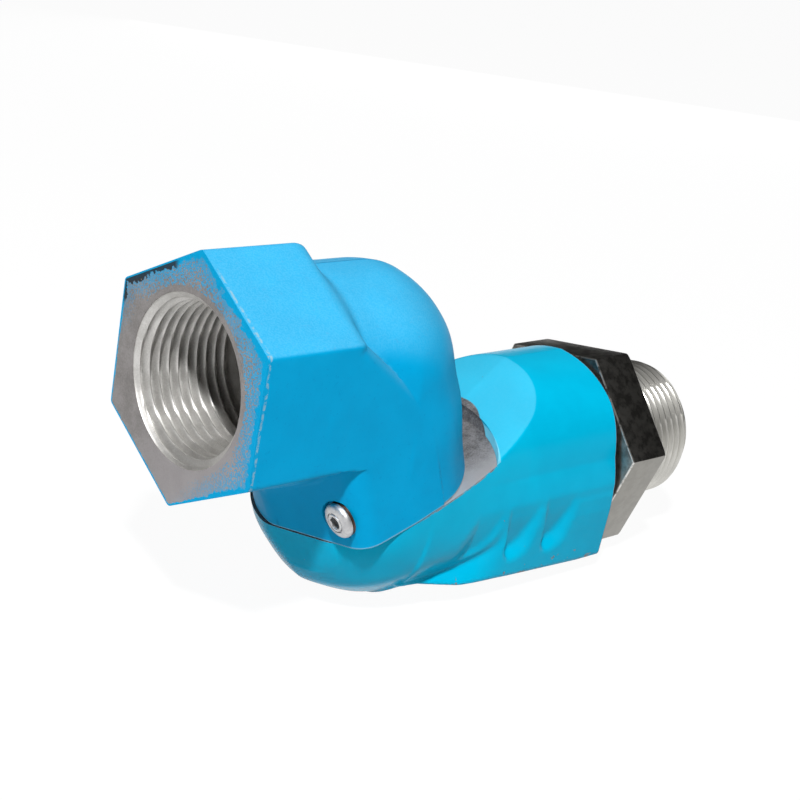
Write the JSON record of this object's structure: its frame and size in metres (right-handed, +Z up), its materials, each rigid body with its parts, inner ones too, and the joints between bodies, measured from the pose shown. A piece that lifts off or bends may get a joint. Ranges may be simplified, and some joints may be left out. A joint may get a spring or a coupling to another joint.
{
  "type": "gas hose swivel connector",
  "caption": "Hexagon inlet elbow on a tilted ball-race swivel over a middle body, with a second ball-race swivel that carries a hexagon adapter with an external thread.",
  "frame": {"origin": "on the outlet axis, at the hand-tight plane of the outlet thread, 10.2 mm before the outlet's end", "axes": "+X along the outlet axis, out of the threaded end; +Z up, towards the inlet side; the inlet axis is parallel to X and points to -X"},
  "size_m": [0.1422, 0.0502, 0.078],
  "materials": {
    "blue_paint": "satin powder coat on cast aluminium, bare machined end face",
    "cyan_paint": "semi-gloss paint on cast aluminium, bare machined joint face",
    "plated_steel": "machined and plated",
    "bright_steel": "bright",
    "bearing_steel": "polished",
    "rubber": "matt",
    "ring_plastic": "matt",
    "washer_metal": "dull copper"
  },
  "bodies": {
    "swivel_body": {"swivel_body": "cyan_paint", "swivel_stem": "plated_steel", "stem_static_seal": "rubber", "inlet_main_seal": "rubber", "inlet_backup_ring": "ring_plastic", "inlet_guide_ring": "ring_plastic", "inlet_dust_seal": "rubber", "outlet_thrust_washer": "ring_plastic", "outlet_loading_pin": "bearing_steel", "outlet_ball_plug": "bright_steel", "outlet_plug_washer": "washer_metal"},
    "inlet_elbow": {"inlet_elbow": "blue_paint", "inlet_thrust_washer": "ring_plastic", "inlet_loading_pin": "bearing_steel", "inlet_ball_plug": "bright_steel", "inlet_plug_washer": "washer_metal"},
    "outlet_adapter": {"outlet_adapter": "plated_steel", "outlet_main_seal": "rubber", "outlet_backup_ring": "ring_plastic", "outlet_guide_ring": "ring_plastic", "outlet_dust_seal": "rubber"},
    "inlet_ball_train": {"inlet_balls": "bearing_steel"},
    "outlet_ball_train": {"outlet_balls": "bearing_steel"}
  },
  "joints": [
    {"name": "inlet_swivel", "type": "hinge", "parent": "swivel_body", "child": "inlet_elbow", "pos_m": [-0.0831, 0, 0], "axis": [-0.342, 0, 0.9397], "continuous": true},
    {"name": "outlet_swivel", "type": "hinge", "parent": "swivel_body", "child": "outlet_adapter", "pos_m": [0, 0, 0], "axis": [1, 0, 0], "continuous": true},
    {"name": "inlet_ball_roll", "type": "hinge", "parent": "swivel_body", "child": "inlet_ball_train", "pos_m": [-0.0831, 0, 0], "axis": [-0.342, 0, 0.9397], "continuous": true},
    {"name": "outlet_ball_roll", "type": "hinge", "parent": "swivel_body", "child": "outlet_ball_train", "pos_m": [0, 0, 0], "axis": [1, 0, 0], "continuous": true}
  ],
  "couplings": [
    {"joint": "inlet_ball_roll", "follows": "inlet_swivel", "ratio": 0.5484},
    {"joint": "outlet_ball_roll", "follows": "outlet_swivel", "ratio": 0.4516}
  ]
}
